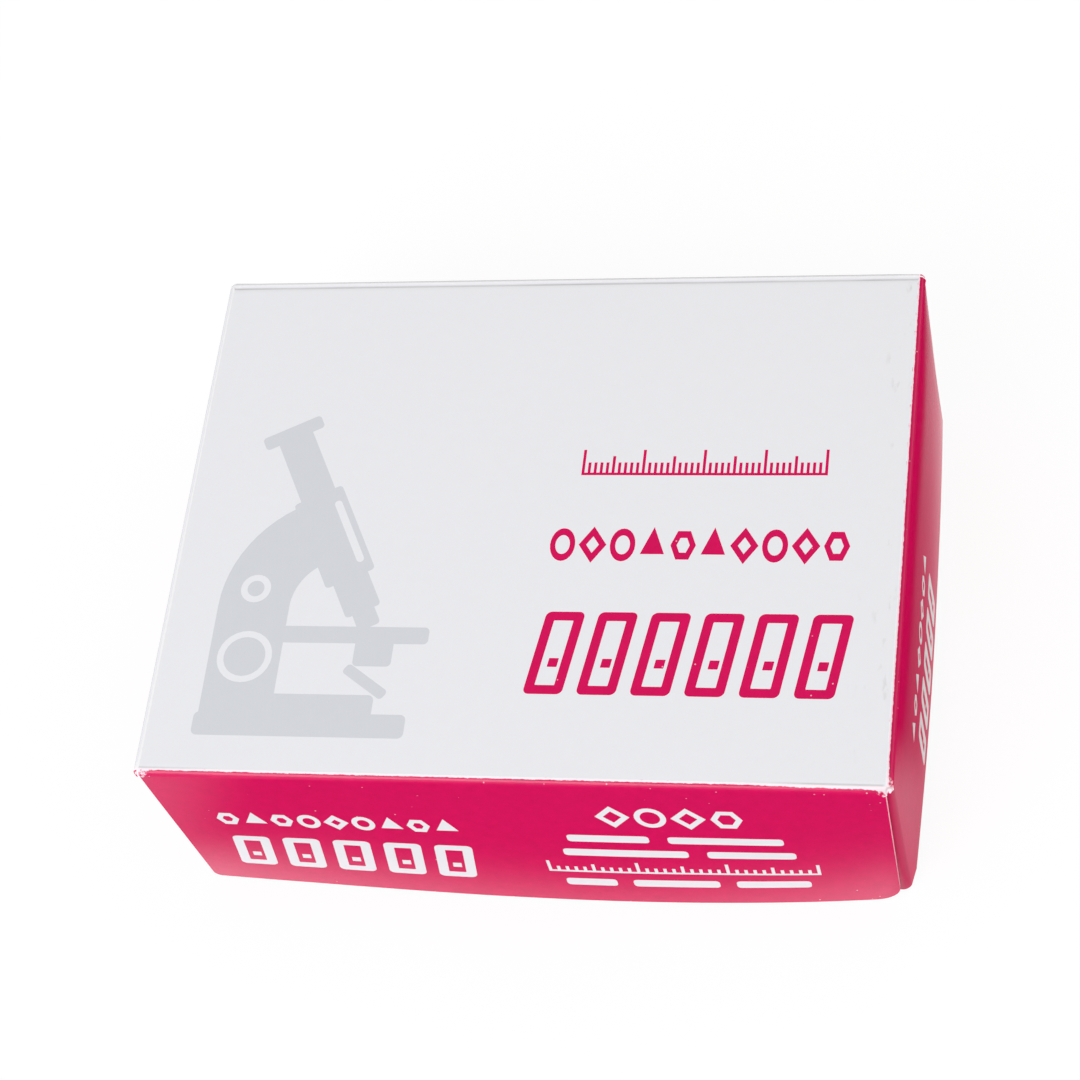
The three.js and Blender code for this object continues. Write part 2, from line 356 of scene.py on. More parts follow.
def edge_scuffs(sheet, u, v):
    """How far the panel's film is rubbed, beside its right-hand fold."""
    a = u - sheet.a
    return hump(a + 1, 1.5) if -6 < a < 0 else 0


def new_object(name, data):
    """An object of the scene, round a mesh, lamp or camera."""
    made = bpy.data.objects.new(name, data)
    bpy.context.scene.collection.objects.link(made)
    return made


def finished_piece(name, mesh, materials):
    """A bmesh made into an object of the scene, with its materials in their slots."""
    data = bpy.data.meshes.new(name)
    for material in materials:
        data.materials.append(material)
    mesh.to_mesh(data)
    mesh.free()
    return new_object(name, data)


def fold_card(name, sheet, fields, slot_of, slots, edge_slot, back_slot):
    """The folded sheet as one solid mesh. fields are printed shapes on the blank, each a
    slot's number and an outline, the later ones printed over the earlier. slot_of gives
    the slot of the sheet itself at a point of the blank."""
    points, edges, faces = [], [], []
    for outline in [blank_outline(sheet)] + [outline for _, outline in fields]:
        faces.append(list(range(len(points), len(points) + len(outline))))
        points.extend(Vector(point) for point in outline)
    for line in blank_lines(sheet):
        edges.append((len(points), len(points) + 1))
        points.extend(Vector(point) for point in line)
    within = 1  # keeps only what lies within the outlines
    flat, _, triangles, _, _, origins = delaunay_2d_cdt(points, edges, faces, within, JOINED)

    mesh = bmesh.new()
    uv = mesh.loops.layers.uv.new("blank")
    # Wear, which along each fold's fine line is also a painted highlight.
    worn_and_highlit = mesh.verts.layers.float.new("wear_and_highlight")
    # Painted shade, in the creases and folds and round the front right tip.
    darkened = mesh.verts.layers.float.new("painted_shade")
    rubbed = mesh.verts.layers.float.new("scuffs")
    # Each point of the blank gives one on the printed face and one behind it.
    front, back = [], []
    for u, v in flat:
        place, normal = fold_point(sheet, u, v)
        place += normal * relief(sheet, u, v)
        for layer, depth in ((front, 0), (back, CARD)):
            point = place - normal * depth
            point.z = sheet.panel_z + sheet.up * point.z
            vert = mesh.verts.new(point * MM)
            vert[worn_and_highlit] = fold_wear_and_highlight(sheet, u, v)
            vert[darkened] = painted_crease_shade(sheet, u, v)
            vert[rubbed] = edge_scuffs(sheet, u, v)
            layer.append(vert)

    def add_face(corners, blank, slot, smooth):
        face = mesh.faces.new(corners)
        face.material_index = slot
        face.smooth = smooth
        for loop, i in zip(face.loops, blank):
            loop[uv].uv = flat[i]

    # Both faces are laid, and a side that only one triangle has is on the cut edge.
    rim = set()
    for corners, ids in zip(triangles, origins):
        if 0 not in ids:
            continue
        printed = max(ids)
        centre = sum((flat[i] for i in corners), Vector((0, 0))) / 3
        slot = fields[printed - 1][0] if printed else slot_of(*centre)
        add_face([front[i] for i in corners], corners, slot, True)
        add_face([back[i] for i in corners[::-1]], corners[::-1], back_slot, True)
        for i, j in zip(corners, [*corners[1:], corners[0]]):
            if (j, i) in rim:
                rim.remove((j, i))
            else:
                rim.add((i, j))
    for i, j in sorted(rim):
        add_face([front[j], front[i], back[i], back[j]], (j, i, i, j), edge_slot, False)
    for edge in mesh.edges:
        cut = {face.material_index == edge_slot for face in edge.link_faces}
        edge.smooth = len(cut) < 2
    loose = [vert for vert in mesh.verts if not vert.link_faces]
    bmesh.ops.delete(mesh, geom=loose, context="VERTS")
    if sheet.up < 0:
        bmesh.ops.reverse_faces(mesh, faces=mesh.faces)
    return finished_piece(name, mesh, slots)


def linear(code):
    """An sRGB hex colour as the linear red, green, blue and alpha that nodes take."""
    parts = [int(code[i : i + 2], 16) / 255 for i in (1, 3, 5)]
    parts = [c / 12.92 if c <= 0.04045 else ((c + 0.055) / 1.055) ** 2.4 for c in parts]
    return (*parts, 1)


def add(tree, kind, inputs=None, **settings):
    """Adds a node, with its settings, and values or links for its inputs."""
    made = tree.nodes.new(kind)
    for name, value in settings.items():
        setattr(made, name, value)
    for name, value in (inputs or {}).items():
        if isinstance(value, bpy.types.NodeSocket):
            tree.links.new(value, made.inputs[name])
        else:
            made.inputs[name].default_value = value
    return made


def new_material(name):
    """A material, and its node tree, which is still empty."""
    material = bpy.data.materials.new(name)
    material.use_nodes = True
    material.node_tree.nodes.clear()
    return material, material.node_tree


# Offset ink on bleached board under clear polypropylene film: flat, clean colour with
# a soft mirror over it. Where a fold has cracked the film, white fibres show through, and
# the same pale colour paints a highlight along each fold; a dark colour paints shade in
# the creases and folds.
def film_faced_board(name, ink, mottle, fibre_and_highlight, shade_and_scuff="#6f6466", pinholes=0.0):
    """mottle is how unevenly the ink lies; then come the colour of torn board, which also
    paints a highlight along the folds, and the colour of scuffs and of painted shade; and
    pinholes is the share of fine specks that the ink missed."""
    material, tree = new_material(name)
    here = add(tree, "ShaderNodeTexCoord").outputs["Object"]
    wear_and_highlight = add(tree, "ShaderNodeAttribute", attribute_name="wear_and_highlight").outputs["Fac"]
    painted_shade = add(tree, "ShaderNodeAttribute", attribute_name="painted_shade").outputs["Fac"]
    scuffs = add(tree, "ShaderNodeAttribute", attribute_name="scuffs").outputs["Fac"]
    # It tears in tufts half a millimetre across. Single fibres are too fine to show.
    tufts = add(
        tree,
        "ShaderNodeTexNoise",
        {"Vector": here, "Scale": 1 / (0.45 * MM), "Detail": 4, "Roughness": 0.6},
    ).outputs["Fac"]
    # A tuft stands clear of the film where it and the wear together pass a limit, so that
    # each fold's fine line also paints a highlight.
    loose = add(
        tree,
        "ShaderNodeMath",
        {0: tufts, 1: 0.7, 2: wear_and_highlight},
        operation="MULTIPLY_ADD",
    ).outputs[0]
    cracked = add(
        tree,
        "ShaderNodeMapRange",
        {"Value": loose, "From Min": 0.84, "From Max": 1.0},
        interpolation_type="SMOOTHSTEP",
    ).outputs["Result"]
    # Solid ink lies a little unevenly on the board, in clouds a millimetre and a half
    # across and in finer grain.
    grain = add(
        tree,
        "ShaderNodeTexNoise",
        {"Vector": here, "Scale": 1 / (1.5 * MM), "Detail": 6, "Roughness": 0.8},
    ).outputs["Fac"]
    laid = add(
        tree,
        "ShaderNodeMapRange",
        {
            "Value": grain,
            "From Min": 0.3,
            "From Max": 0.7,
            "To Min": 1 - mottle,
            "To Max": 1 + mottle,
        },
    ).outputs["Result"]
    colour = add(
        tree,
        "ShaderNodeMix",
        {0: 1.0, 6: linear(ink), 7: laid},
        data_type="RGBA",
        blend_type="MULTIPLY",
    ).outputs[2]
    if pinholes:
        # Specks a sixth of a millimetre across, where the ink missed a fibre.
        speck = add(tree, "ShaderNodeTexVoronoi", {"Vector": here, "Scale": 1 / (1.1 * MM)}).outputs
        near = add(
            tree,
            "ShaderNodeMapRange",
            {"Value": speck["Distance"], "From Min": 0.1, "From Max": 0.03, "To Max": 0.7},
        ).outputs["Result"]
        # They are commoner towards the worn front fold.
        chance = add(
            tree,
            "ShaderNodeMath",
            {0: wear_and_highlight, 1: 2.0, 2: pinholes},
            operation="MULTIPLY_ADD",
        ).outputs[0]
        drawn = add(tree, "ShaderNodeSeparateColor", {"Color": speck["Color"]}).outputs["Red"]
        rare = add(tree, "ShaderNodeMath", {0: drawn, 1: chance}, operation="LESS_THAN").outputs[0]
        missed = add(tree, "ShaderNodeMath", {0: near, 1: rare}, operation="MULTIPLY").outputs[0]
        cracked = add(tree, "ShaderNodeMath", {0: cracked, 1: missed}, operation="MAXIMUM").outputs[0]
    worn_and_highlit = add(
        tree,
        "ShaderNodeMix",
        {0: cracked, 6: colour, 7: linear(fibre_and_highlight)},
        data_type="RGBA",
    ).outputs[2]
    # Rubbed film is dull in short streaks along the fold, three times as long as broad.
    drawn_out = add(
        tree,
        "ShaderNodeVectorMath",
        {0: here, 1: (1.0, 0.35, 1.0)},
        operation="MULTIPLY",
    ).outputs[0]
    drift = add(
        tree,
        "ShaderNodeTexNoise",
        {"Vector": drawn_out, "Scale": 1 / (1.3 * MM), "Detail": 4},
    ).outputs["Fac"]
    streak = add(
        tree,
        "ShaderNodeMapRange",
        {"Value": drift, "From Min": 0.6, "From Max": 0.75, "To Max": 0.24},
        interpolation_type="SMOOTHSTEP",
    ).outputs["Result"]
    rub = add(tree, "ShaderNodeMath", {0: streak, 1: scuffs}, operation="MULTIPLY").outputs[0]
    # Scuffs are real wear; the rest of this darkening is painted shade, in the same dark colour.
    scuffs_and_shade = add(tree, "ShaderNodeMath", {0: rub, 1: painted_shade}, operation="MAXIMUM").outputs[0]
    darkened = add(tree, "ShaderNodeMix", {0: scuffs_and_shade, 6: worn_and_highlit, 7: linear(shade_and_scuff)}, data_type="RGBA").outputs[2]
    # The film is glossy and torn board is matt.
    roughness = add(
        tree,
        "ShaderNodeMapRange",
        {"Value": cracked, "To Min": 0.23, "To Max": 0.8},
    ).outputs["Result"]
    # The film follows the board's tooth in an orange peel about a millimetre across.
    peel = add(
        tree,
        "ShaderNodeTexNoise",
        {"Vector": here, "Scale": 1 / (1.1 * MM), "Detail": 3},
    ).outputs["Fac"]
    bump = add(
        tree,
        "ShaderNodeBump",
        {"Height": peel, "Strength": 0.5, "Distance": 0.008 * MM},
    ).outputs["Normal"]
    finish = add(
        tree,
        "ShaderNodeBsdfPrincipled",
        {"Base Color": darkened, "Roughness": roughness, "IOR": 1.49, "Normal": bump},
    )
    add(tree, "ShaderNodeOutputMaterial", {"Surface": finish.outputs["BSDF"]})
    return material


# The cut edge and the unprinted back of the board: matt, fibrous, slightly warm. Its
# fibres are drawn as flecks half a millimetre across, because they are finer than shows.
def bare_board(name, colour, fleck):
    material, tree = new_material(name)
    here = add(tree, "ShaderNodeTexCoord").outputs["Object"]
    fibres = add(
        tree,
        "ShaderNodeTexNoise",
        {"Vector": here, "Scale": 1 / (0.6 * MM), "Detail": 6, "Roughness": 0.7},
    ).outputs["Fac"]
    level = add(
        tree,
        "ShaderNodeMapRange",
        {"Value": fibres, "From Min": 0.5, "From Max": 0.72},
    ).outputs["Result"]
    mixed = add(
        tree,
        "ShaderNodeMix",
        {0: level, 6: linear(colour), 7: linear(fleck)},
        data_type="RGBA",
    ).outputs[2]
    bump = add(
        tree,
        "ShaderNodeBump",
        {"Height": fibres, "Strength": 0.6, "Distance": 0.015 * MM},
    ).outputs["Normal"]
    finish = add(
        tree,
        "ShaderNodeBsdfPrincipled",
        {"Base Color": mixed, "Roughness": 0.85, "Normal": bump},
    )
    add(tree, "ShaderNodeOutputMaterial", {"Surface": finish.outputs["BSDF"]})
    return material


# ----------------------------------------------------------------- The lid's print
# The panel is left white and the walls are flooded with crimson, which starts on the
# folds. On the panel are three crimson rows and a pale grey microscope. On the front
# and right walls the rows are left unprinted, so that they show white.
def outline_at(shape, x, y, lean=0.0, turn=0.0):
    """A shape drawn round its own middle, leant over, turned and put at a place."""
    cos, sin = math.cos(turn), math.sin(turn)
    leant = [(u + lean * v, v) for u, v in shape]
    return [(x + u * cos - v * sin, y + u * sin + v * cos) for u, v in leant]


def round_shape(width, height, corner, steps=5):
    """A rectangle with round corners, drawn round its own middle."""
    points = []
    for quarter, (across, up) in enumerate(((1, 1), (-1, 1), (-1, -1), (1, -1))):
        middle_x = across * (width / 2 - corner)
        middle_y = up * (height / 2 - corner)
        for i in range(steps + 1):
            angle = math.radians(90 * (quarter + i / steps))
            x = middle_x + corner * math.cos(angle)
            y = middle_y + corner * math.sin(angle)
            points.append((x, y))
    return points


def polygon(sides, radius, turned=0.0):
    """A regular polygon, or with many sides a circle, drawn round its own middle."""
    angles = [turned + 2 * math.pi * i / sides for i in range(sides)]
    return [(radius * math.cos(angle), radius * math.sin(angle)) for angle in angles]


# The lid's slots, in the order of its materials.
WHITE, CRIMSON, GREY, BARE, EDGE = range(5)


def leaning_slides(place, left, right, base, height, stroke, count, ink, ground, lean=0.16):
    """A row of slides in outline, leaning over, each with a cover glass below its middle."""
    pitch = (right - left - lean * height) / count
    width = 0.74 * pitch
    clear = width - 2 * stroke  # inside the outline
    cover = 0.5 * clear
    outer = round_shape(width, height, 0.6 * stroke)
    inner = round_shape(clear, height - 2 * stroke, 0.1)
    glass = round_shape(cover, cover, 0.08)
    y = base + height / 2
    fields = []
    for i in range(count):
        x = left + lean * height / 2 + pitch * (i + 0.5)
        fields.append((ink, place(outline_at(outer, x, y, lean))))
        fields.append((ground, place(outline_at(inner, x, y, lean))))
        fields.append((ink, place(outline_at(glass, x, y - 0.12 * height, lean))))
    return fields


def specimen_row(place, left, right, base, height, stroke, count, ink, ground, start=0):
    """A row of small outlined shapes, as cells and crystals are drawn on a chart. They
    are circles, hexagons, diamonds and triangles, and start is the kind of the first."""
    pitch = (right - left) / count
    r = min(height / 2, pitch * 0.42)
    tall = height / 2 / r
    point = r * 1.1  # a shape with few corners is drawn larger, to look the same size
    y = base + height / 2
    # A hexagon's and a diamond's corners go further in than the stroke is wide.
    shapes = (
        (polygon(24, r), polygon(24, r - stroke)),
        (polygon(6, r), polygon(6, r - stroke * 1.15)),
        (polygon(4, point), polygon(4, point - stroke * 1.41)),
        (polygon(3, point, math.pi / 2), None),
    )
    fields = []
    for i in range(count):
        x = left + pitch * (i + 0.5)
        outer, inner = shapes[(start + 2 * i + i // 3) % len(shapes)]
        fields.append((ink, place([(x + u, y + v * tall) for u, v in outer])))
        if inner:
            fields.append((ground, place([(x + u, y + v * tall) for u, v in inner])))
    return fields


def stage_scale(place, left, right, base, height, stroke, ink, count=40):
    """A ruled scale, as on a stage micrometer: a line with short and long divisions."""
    foot = base + stroke
    fields = [(ink, place([(left, base), (right, base), (right, foot), (left, foot)]))]
    for i in range(count + 1):
        share = 1 if i % 10 == 0 else 0.75 if i % 5 == 0 else 0.5
        top = base + height * share
        x = left + (right - left - stroke) * i / count
        end = x + stroke
        fields.append((ink, place([(x, base), (end, base), (end, top), (x, top)])))
    return fields


def bars(place, middle, base, height, widths, gap, ink):
    """A centred row of plain bars."""
    fields = []
    x = middle - (sum(widths) + gap * (len(widths) - 1)) / 2
    for width in widths:
        bar = round_shape(width, height, height * 0.3, 3)
        fields.append((ink, place(outline_at(bar, x + width / 2, base + height / 2))))
        x += width + gap
    return fields


# The lid's depth follows from the tray, because its own box takes in the bow.
CLEARANCE = 0.35  # mm between the tray's long walls and the lid's flaps
END_RIM = 0.7  # mm, how far the short walls' rims stand above the long walls'
low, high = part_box("lid")
tray_low, tray_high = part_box("tray")
lid = Sheet(
    length=(high.x - low.x) / MM,
    depth=(tray_high.y - tray_low.y) / MM + 2 * (CLEARANCE + 2 * CARD),
    wall=(high.z - low.z) / MM,
    end_wall=(high.z - low.z) / MM - END_RIM,
    panel_z=high.z / MM,
    up=1,
    flap=18,
    flap_taper=3,
)
# It has sprung open a little since it was glued, and has been handled.
lid.bow = 1.5
lid.bow_skew = 0.35
lid.wall_taper = 0.6
lid.rim_corners = {(-1, -1): 0.9, (1, -1): 2.6, (-1, 1): 1.8, (1, 1): 2.2}
lid.end_bow = 0.6
lid.corner_give = 0.6
lid.end_swell = 0.25
lid.crease_depth = 0.08
lid.waviness = 0.05


def on_panel(outline):
    """The panel is the middle of the blank, so a row there is in place already."""
    return outline


def on_front(outline):
    """From x and height above the front wall's rim to a place on the blank."""
    rim = lid.b + QUARTER + lid.wall - FOLD
    return [(x, y - rim) for x, y in outline]


def on_right(outline):
    """The same for the right wall, where a row runs from front to back."""
    rim = lid.a + QUARTER + lid.end_wall - FOLD
    return [(rim - y, x) for x, y in outline]


def lid_slot(u, v):
    """White on the panel, crimson past it. The print sits a little off register with the
    folds, so that white rolls over the back and left folds, and crimson comes up over
    the front and right ones."""
    over_left = 1.2 * QUARTER
    over_back = 1.3 * QUARTER
    short_of = 0.04 * QUARTER  # where it ends in the front and right folds
    across = -lid.a - over_left < u < lid.a + short_of
    along = -lid.b - short_of < v < lid.b + over_back
    return WHITE if across and along else CRIMSON


def microscope(place, x, y, scale):
    """A plain microscope in profile, built up from bars and discs. Its own sizes are in
    millimetres before it is scaled, from the middle of its foot."""
    fields = []

    def put(ink, shape, across, up, turn=0.0):
        placed = outline_at(shape, across, up, 0, turn)
        fields.append((ink, place([(x + u * scale, y + v * scale) for u, v in placed])))

    tilt = math.radians(27)
    put(GREY, round_shape(22, 2.6, 0.6), 0, 1.3)
    put(GREY, round_shape(16, 2.6, 0.6), -0.6, 3.4)
    # The limb: a broad arc from the foot up to the tube's carrier.
    limb = []
    for radius, start, sweep in ((13.2, 104, 76), (5.6, 180, -76)):
        for i in range(15):
            angle = math.radians(start + sweep * i / 14)
            limb.append((2.6 + radius * math.cos(angle), 14.6 + radius * math.sin(angle)))
    put(GREY, limb, 0, 0)
    put(GREY, round_shape(7.6, 12.7, 0.1), -6.8, 8.35)
    # Body tube, draw tube, eyepiece, nosepiece and objective share one leaning axis.
    barrels = ((17, 5.4, 11), (26, 3.8, 9), (31, 6.6, 1.6), (9.8, 3.8, 5), (6.8, 2.4, 3))
    for along, width, length in barrels:
        across = 8.2 - along * math.sin(tilt)
        up = 7.6 + along * math.cos(tilt)
        put(GREY, round_shape(width, length, 0.4), across, up, tilt)
    # A slot of light down the body tube, then the stage, its holder and the mirror.
    put(WHITE, round_shape(0.8, 8, 0.4), 2.0, 23.4, tilt)
    put(GREY, round_shape(16, 1.9, 0.5), 4.1, 11.4)
    put(GREY, round_shape(4, 3, 0.5), 6.6, 9.4)
    put(GREY, round_shape(5.4, 1.2, 0.4), 6.2, 6.2, math.radians(-35))
    # Focusing wheels are reversed out of the limb.
    for size, across, up in ((5.8, -6.8, 8.8), (3.2, -6.9, 16.6)):
        put(WHITE, polygon(28, size / 2), across, up)
        put(GREY, polygon(24, size / 2 - 0.7), across, up)
    return fields


# A row is given by its wall, left and right ends, base, height and stroke, and then its
# count and inks. A row of bars has its middle, base, height, widths and gap.
print_fields = [
    *stage_scale(on_panel, 4.4, 31.1, 5.3, 3.2, 0.32, CRIMSON),
    *specimen_row(on_panel, 1.7, 34.3, -5.3, 4.0, 0.58, 10, CRIMSON, WHITE),
    *leaning_slides(on_panel, 0.3, 35.8, -21.1, 9.7, 1.05, 6, CRIMSON, WHITE),
    *microscope(on_panel, -22.7, -26.6, 1.06),
    *specimen_row(on_front, -34, -6.6, 14.4, 3.2, 0.6, 9, WHITE, CRIMSON, 1),
    *leaning_slides(on_front, -35, -5.5, 4.2, 7.4, 1.15, 5, WHITE, CRIMSON, 0.12),
    *specimen_row(on_front, 8.4, 24.4, 17.2, 4.4, 0.62, 4, WHITE, CRIMSON, 2),
    *bars(on_front, 16.2, 13.6, 1.5, (8.8, 12.2), 2, WHITE),
    *bars(on_front, 16.2, 10.4, 1.5, (13.5, 9.4), 2, WHITE),
    *stage_scale(on_front, 1.4, 30.8, 6.6, 2.4, 0.36, WHITE, 30),
    *bars(on_front, 16.2, 3.6, 1.5, (5.6, 9.4, 8.0), 1.8, WHITE),
    *specimen_row(on_right, -19, 4, 10.6, 3.0, 0.6, 8, WHITE, CRIMSON, 3),
    *leaning_slides(on_right, -17.5, 4.5, 1.4, 6.4, 1.1, 5, WHITE, CRIMSON, 0.12),
]

white_board = film_faced_board("laminated_white_board", "#ececee", 0.008, "#f4f2f3")
crimson_board = film_faced_board(
    "laminated_crimson_print",
    "#d80058",
    0.08,
    # A pale pink, for torn fibres and for the painted highlight along the folds.
    "#fdeff4",
    # A dark crimson, for scuffs and for painted shade in the creases and folds.
    shade_and_scuff="#7a2038",
    pinholes=0.05,
)
grey_print = film_faced_board("laminated_grey_print", "#d5d7db", 0.01, "#f4f2f3")
back_board = bare_board("board_back", "#dedad2", "#cfc9bd")
cut_board = bare_board("board_cut_edge", "#f3bfcd", "#e494ad")
lid_card = fold_card(
    "lid_card",
    lid,
    print_fields,
    lid_slot,
    (white_board, crimson_board, grey_print, back_board, cut_board),
    EDGE,
    BARE,
)
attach(lid_card, "lid")
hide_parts("lid")


# ----------------------------------------------------------------------- The tray
# The lower half is a second sheet of the same board, unprinted, folded the same way
# with its panel underneath. Only its shadowed rim shows when the lid is on.
tray = Sheet(
    length=(tray_high.x - tray_low.x) / MM,
    depth=(tray_high.y - tray_low.y) / MM,
    wall=(tray_high.z - tray_low.z) / MM,
    end_wall=(tray_high.z - tray_low.z) / MM,
    panel_z=tray_low.z / MM,
    up=-1,
    flap=16,
    flap_taper=2.5,
)
tray.crease_depth = 0
outside_board = bare_board("board_uncoated", "#e3dfd7", "#d8d3c8")
plain_edge = bare_board("board_cut_edge_plain", "#ddd7cb", "#c8c0b0")
OUTSIDE, INSIDE, RIM = range(3)  # the tray's slots
tray_card = fold_card(
    "tray_card",
    tray,
    [],
    lambda u, v: OUTSIDE,
    (outside_board, back_board, plain_edge),
    RIM,
    INSIDE,
)
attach(tray_card, "tray")
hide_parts("tray")


# --------------------------------------------------------------------- The slides
# Fifty plain slides of soda-lime glass stand on their long edges in one row. Their
# faces are fire-polished float glass. Their edges and bevels are ground matt.
GROUND_EDGE = 0.15  # mm, width and depth of the ground bevel
SLIDES = 50
PLAY = 0.3  # mm that a slide can lie to either side of its place along the tray
first_low, first_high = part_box("slide_01")
last_low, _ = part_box("slide_50")


def clear_glass():
    """Colourless float glass. Its iron shows as a faint green along the edges, and the
    float's draw as waves some 30 mm long in its reflections."""
    material, tree = new_material("soda_lime_glass")
    here = add(tree, "ShaderNodeTexCoord").outputs["Object"]
    draw = add(
        tree,
        "ShaderNodeTexNoise",
        {"Vector": here, "Scale": 1 / (30 * MM), "Detail": 1},
    ).outputs["Fac"]
    bump = add(
        tree,
        "ShaderNodeBump",
        {"Height": draw, "Strength": 0.3, "Distance": 0.02 * MM},
    ).outputs["Normal"]
    glass = add(
        tree,
        "ShaderNodeBsdfPrincipled",
        {
            "Base Color": linear("#eef8f4"),
            "Roughness": 0.02,
            "IOR": 1.52,
            "Transmission Weight": 1.0,
            "Normal": bump,
        },
    )
    add(tree, "ShaderNodeOutputMaterial", {"Surface": glass.outputs["BSDF"]})
    return material


def ground_glass():
    """Edges ground with 400 grit: matt, grey-green, with a fine tooth, which is drawn
    three times as coarse as the grit, to show."""
    material, tree = new_material("ground_glass_edge")
    here = add(tree, "ShaderNodeTexCoord").outputs["Object"]
    tooth = add(
        tree,
        "ShaderNodeTexNoise",
        {"Vector": here, "Scale": 1 / (0.12 * MM), "Detail": 4},
    ).outputs["Fac"]
    mixed = add(
        tree,
        "ShaderNodeMix",
        {0: tooth, 6: linear("#a9c2bb"), 7: linear("#dbe9e4")},
        data_type="RGBA",
    ).outputs[2]
    bump = add(
        tree,
        "ShaderNodeBump",
        {"Height": tooth, "Strength": 0.5, "Distance": 0.02 * MM},
    ).outputs["Normal"]
    glass = add(
        tree,
        "ShaderNodeBsdfPrincipled",
        {
            "Base Color": mixed,
            "Roughness": 0.5,
            "IOR": 1.52,
            "Transmission Weight": 0.3,
            "Normal": bump,
        },
    )
    add(tree, "ShaderNodeOutputMaterial", {"Surface": glass.outputs["BSDF"]})
    return material


def one_slide(finishes):
    """One slide in the first slide's place, its edge faces marked as ground."""
    reach = (first_high - first_low) / 2
    middle = (first_high + first_low) / 2
    mesh = bmesh.new()
    bmesh.ops.create_cube(mesh, size=2)
    for vert in mesh.verts:
        vert.co = vert.co * reach
    bmesh.ops.bevel(
        mesh,
        geom=mesh.edges[:],
        offset=GROUND_EDGE * MM,
        segments=2,
        profile=0.5,
        affect="EDGES",
    )
    ground = mesh.faces.layers.bool.new("ground")
    for face in mesh.faces:
        face[ground] = abs(face.normal.y) < 0.999
        face.smooth = False
    bmesh.ops.translate(mesh, verts=mesh.verts, vec=middle)
    return finished_piece("glass_slides", mesh, finishes)


def row_of_slides():
    """A node tree that repeats one slide along the row, each a little out of line."""
    tree = bpy.data.node_groups.new("row_of_slides", "GeometryNodeTree")
    sockets = {}
    for name, kind, in_out in (
        ("Geometry", "NodeSocketGeometry", "INPUT"),
        ("Count", "NodeSocketInt", "INPUT"),
        ("Pitch", "NodeSocketFloat", "INPUT"),
        ("Play", "NodeSocketFloat", "INPUT"),
        ("Seed", "NodeSocketInt", "INPUT"),
        ("Polished", "NodeSocketMaterial", "INPUT"),
        ("Ground", "NodeSocketMaterial", "INPUT"),
        ("Geometry", "NodeSocketGeometry", "OUTPUT"),
    ):
        socket = tree.interface.new_socket(name, in_out=in_out, socket_type=kind)
        if in_out == "INPUT":
            sockets[name] = socket.identifier
    given = add(tree, "NodeGroupInput").outputs
    step = add(tree, "ShaderNodeCombineXYZ", {"Y": given["Pitch"]}).outputs[0]
    line = add(tree, "GeometryNodeMeshLine", {"Count": given["Count"], "Offset": step})
    back = add(tree, "ShaderNodeMath", {0: given["Play"], 1: -1.0}, operation="MULTIPLY")
    low_corner = add(tree, "ShaderNodeCombineXYZ", {"X": back.outputs[0]}).outputs[0]
    high_corner = add(tree, "ShaderNodeCombineXYZ", {"X": given["Play"]}).outputs[0]
    shift = add(
        tree,
        "FunctionNodeRandomValue",
        {0: low_corner, 1: high_corner, "Seed": given["Seed"]},
        data_type="FLOAT_VECTOR",
    ).outputs[0]
    placed = add(tree, "GeometryNodeSetPosition", {"Geometry": line.outputs["Mesh"], "Offset": shift})
    copies = add(
        tree,
        "GeometryNodeInstanceOnPoints",
        {"Points": placed.outputs["Geometry"], "Instance": given["Geometry"]},
    )
    real = add(tree, "GeometryNodeRealizeInstances", {"Geometry": copies.outputs["Instances"]})
    polished = add(
        tree,
        "GeometryNodeSetMaterial",
        {"Geometry": real.outputs["Geometry"], "Material": given["Polished"]},
    )
    edges = add(tree, "GeometryNodeInputNamedAttribute", {"Name": "ground"}, data_type="BOOLEAN")
    ground = add(
        tree,
        "GeometryNodeSetMaterial",
        {
            "Geometry": polished.outputs["Geometry"],
            "Selection": edges.outputs["Attribute"],
            "Material": given["Ground"],
        },
    )
    add(tree, "NodeGroupOutput", {"Geometry": ground.outputs["Geometry"]})
    return tree, sockets


polished = clear_glass()
ground = ground_glass()
glass_slides = one_slide((polished, ground))
tree, sockets = row_of_slides()
row = glass_slides.modifiers.new("row", "NODES")
row.node_group = tree
row[sockets["Count"]] = SLIDES
row[sockets["Pitch"]] = (last_low.y - first_low.y) / (SLIDES - 1)
row[sockets["Play"]] = PLAY * MM
row[sockets["Seed"]] = 7
row[sockets["Polished"]] = polished
row[sockets["Ground"]] = ground
graph = bpy.context.evaluated_depsgraph_get()
finished = bpy.data.meshes.new_from_object(glass_slides.evaluated_get(graph))
glass_slides.modifiers.clear()
glass_slides.data = finished
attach(glass_slides, "tray")
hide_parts(*[f"slide_{i:02d}" for i in range(1, SLIDES + 1)])


# ------------------------------------------------------------- The table and light
# The box stands on a white table, so pale that it takes only a faint shadow. Reflections
# see painted light on it: bright within a finger's width of the box and dark beyond,
# which deepens the walls.
REACH = 0.6  # m from the middle of the table to its edges
corners = [(-REACH, -REACH, 0), (REACH, -REACH, 0), (REACH, REACH, 0), (-REACH, REACH, 0)]
floor_mesh = bpy.data.meshes.new("table")
floor_mesh.from_pydata(corners, [], [(0, 1, 2, 3)])
floor = new_object("table", floor_mesh)
table_top, tree = new_material("white_table_top")
ray = add(tree, "ShaderNodeLightPath").outputs
here = add(tree, "ShaderNodeTexCoord").outputs["Object"]
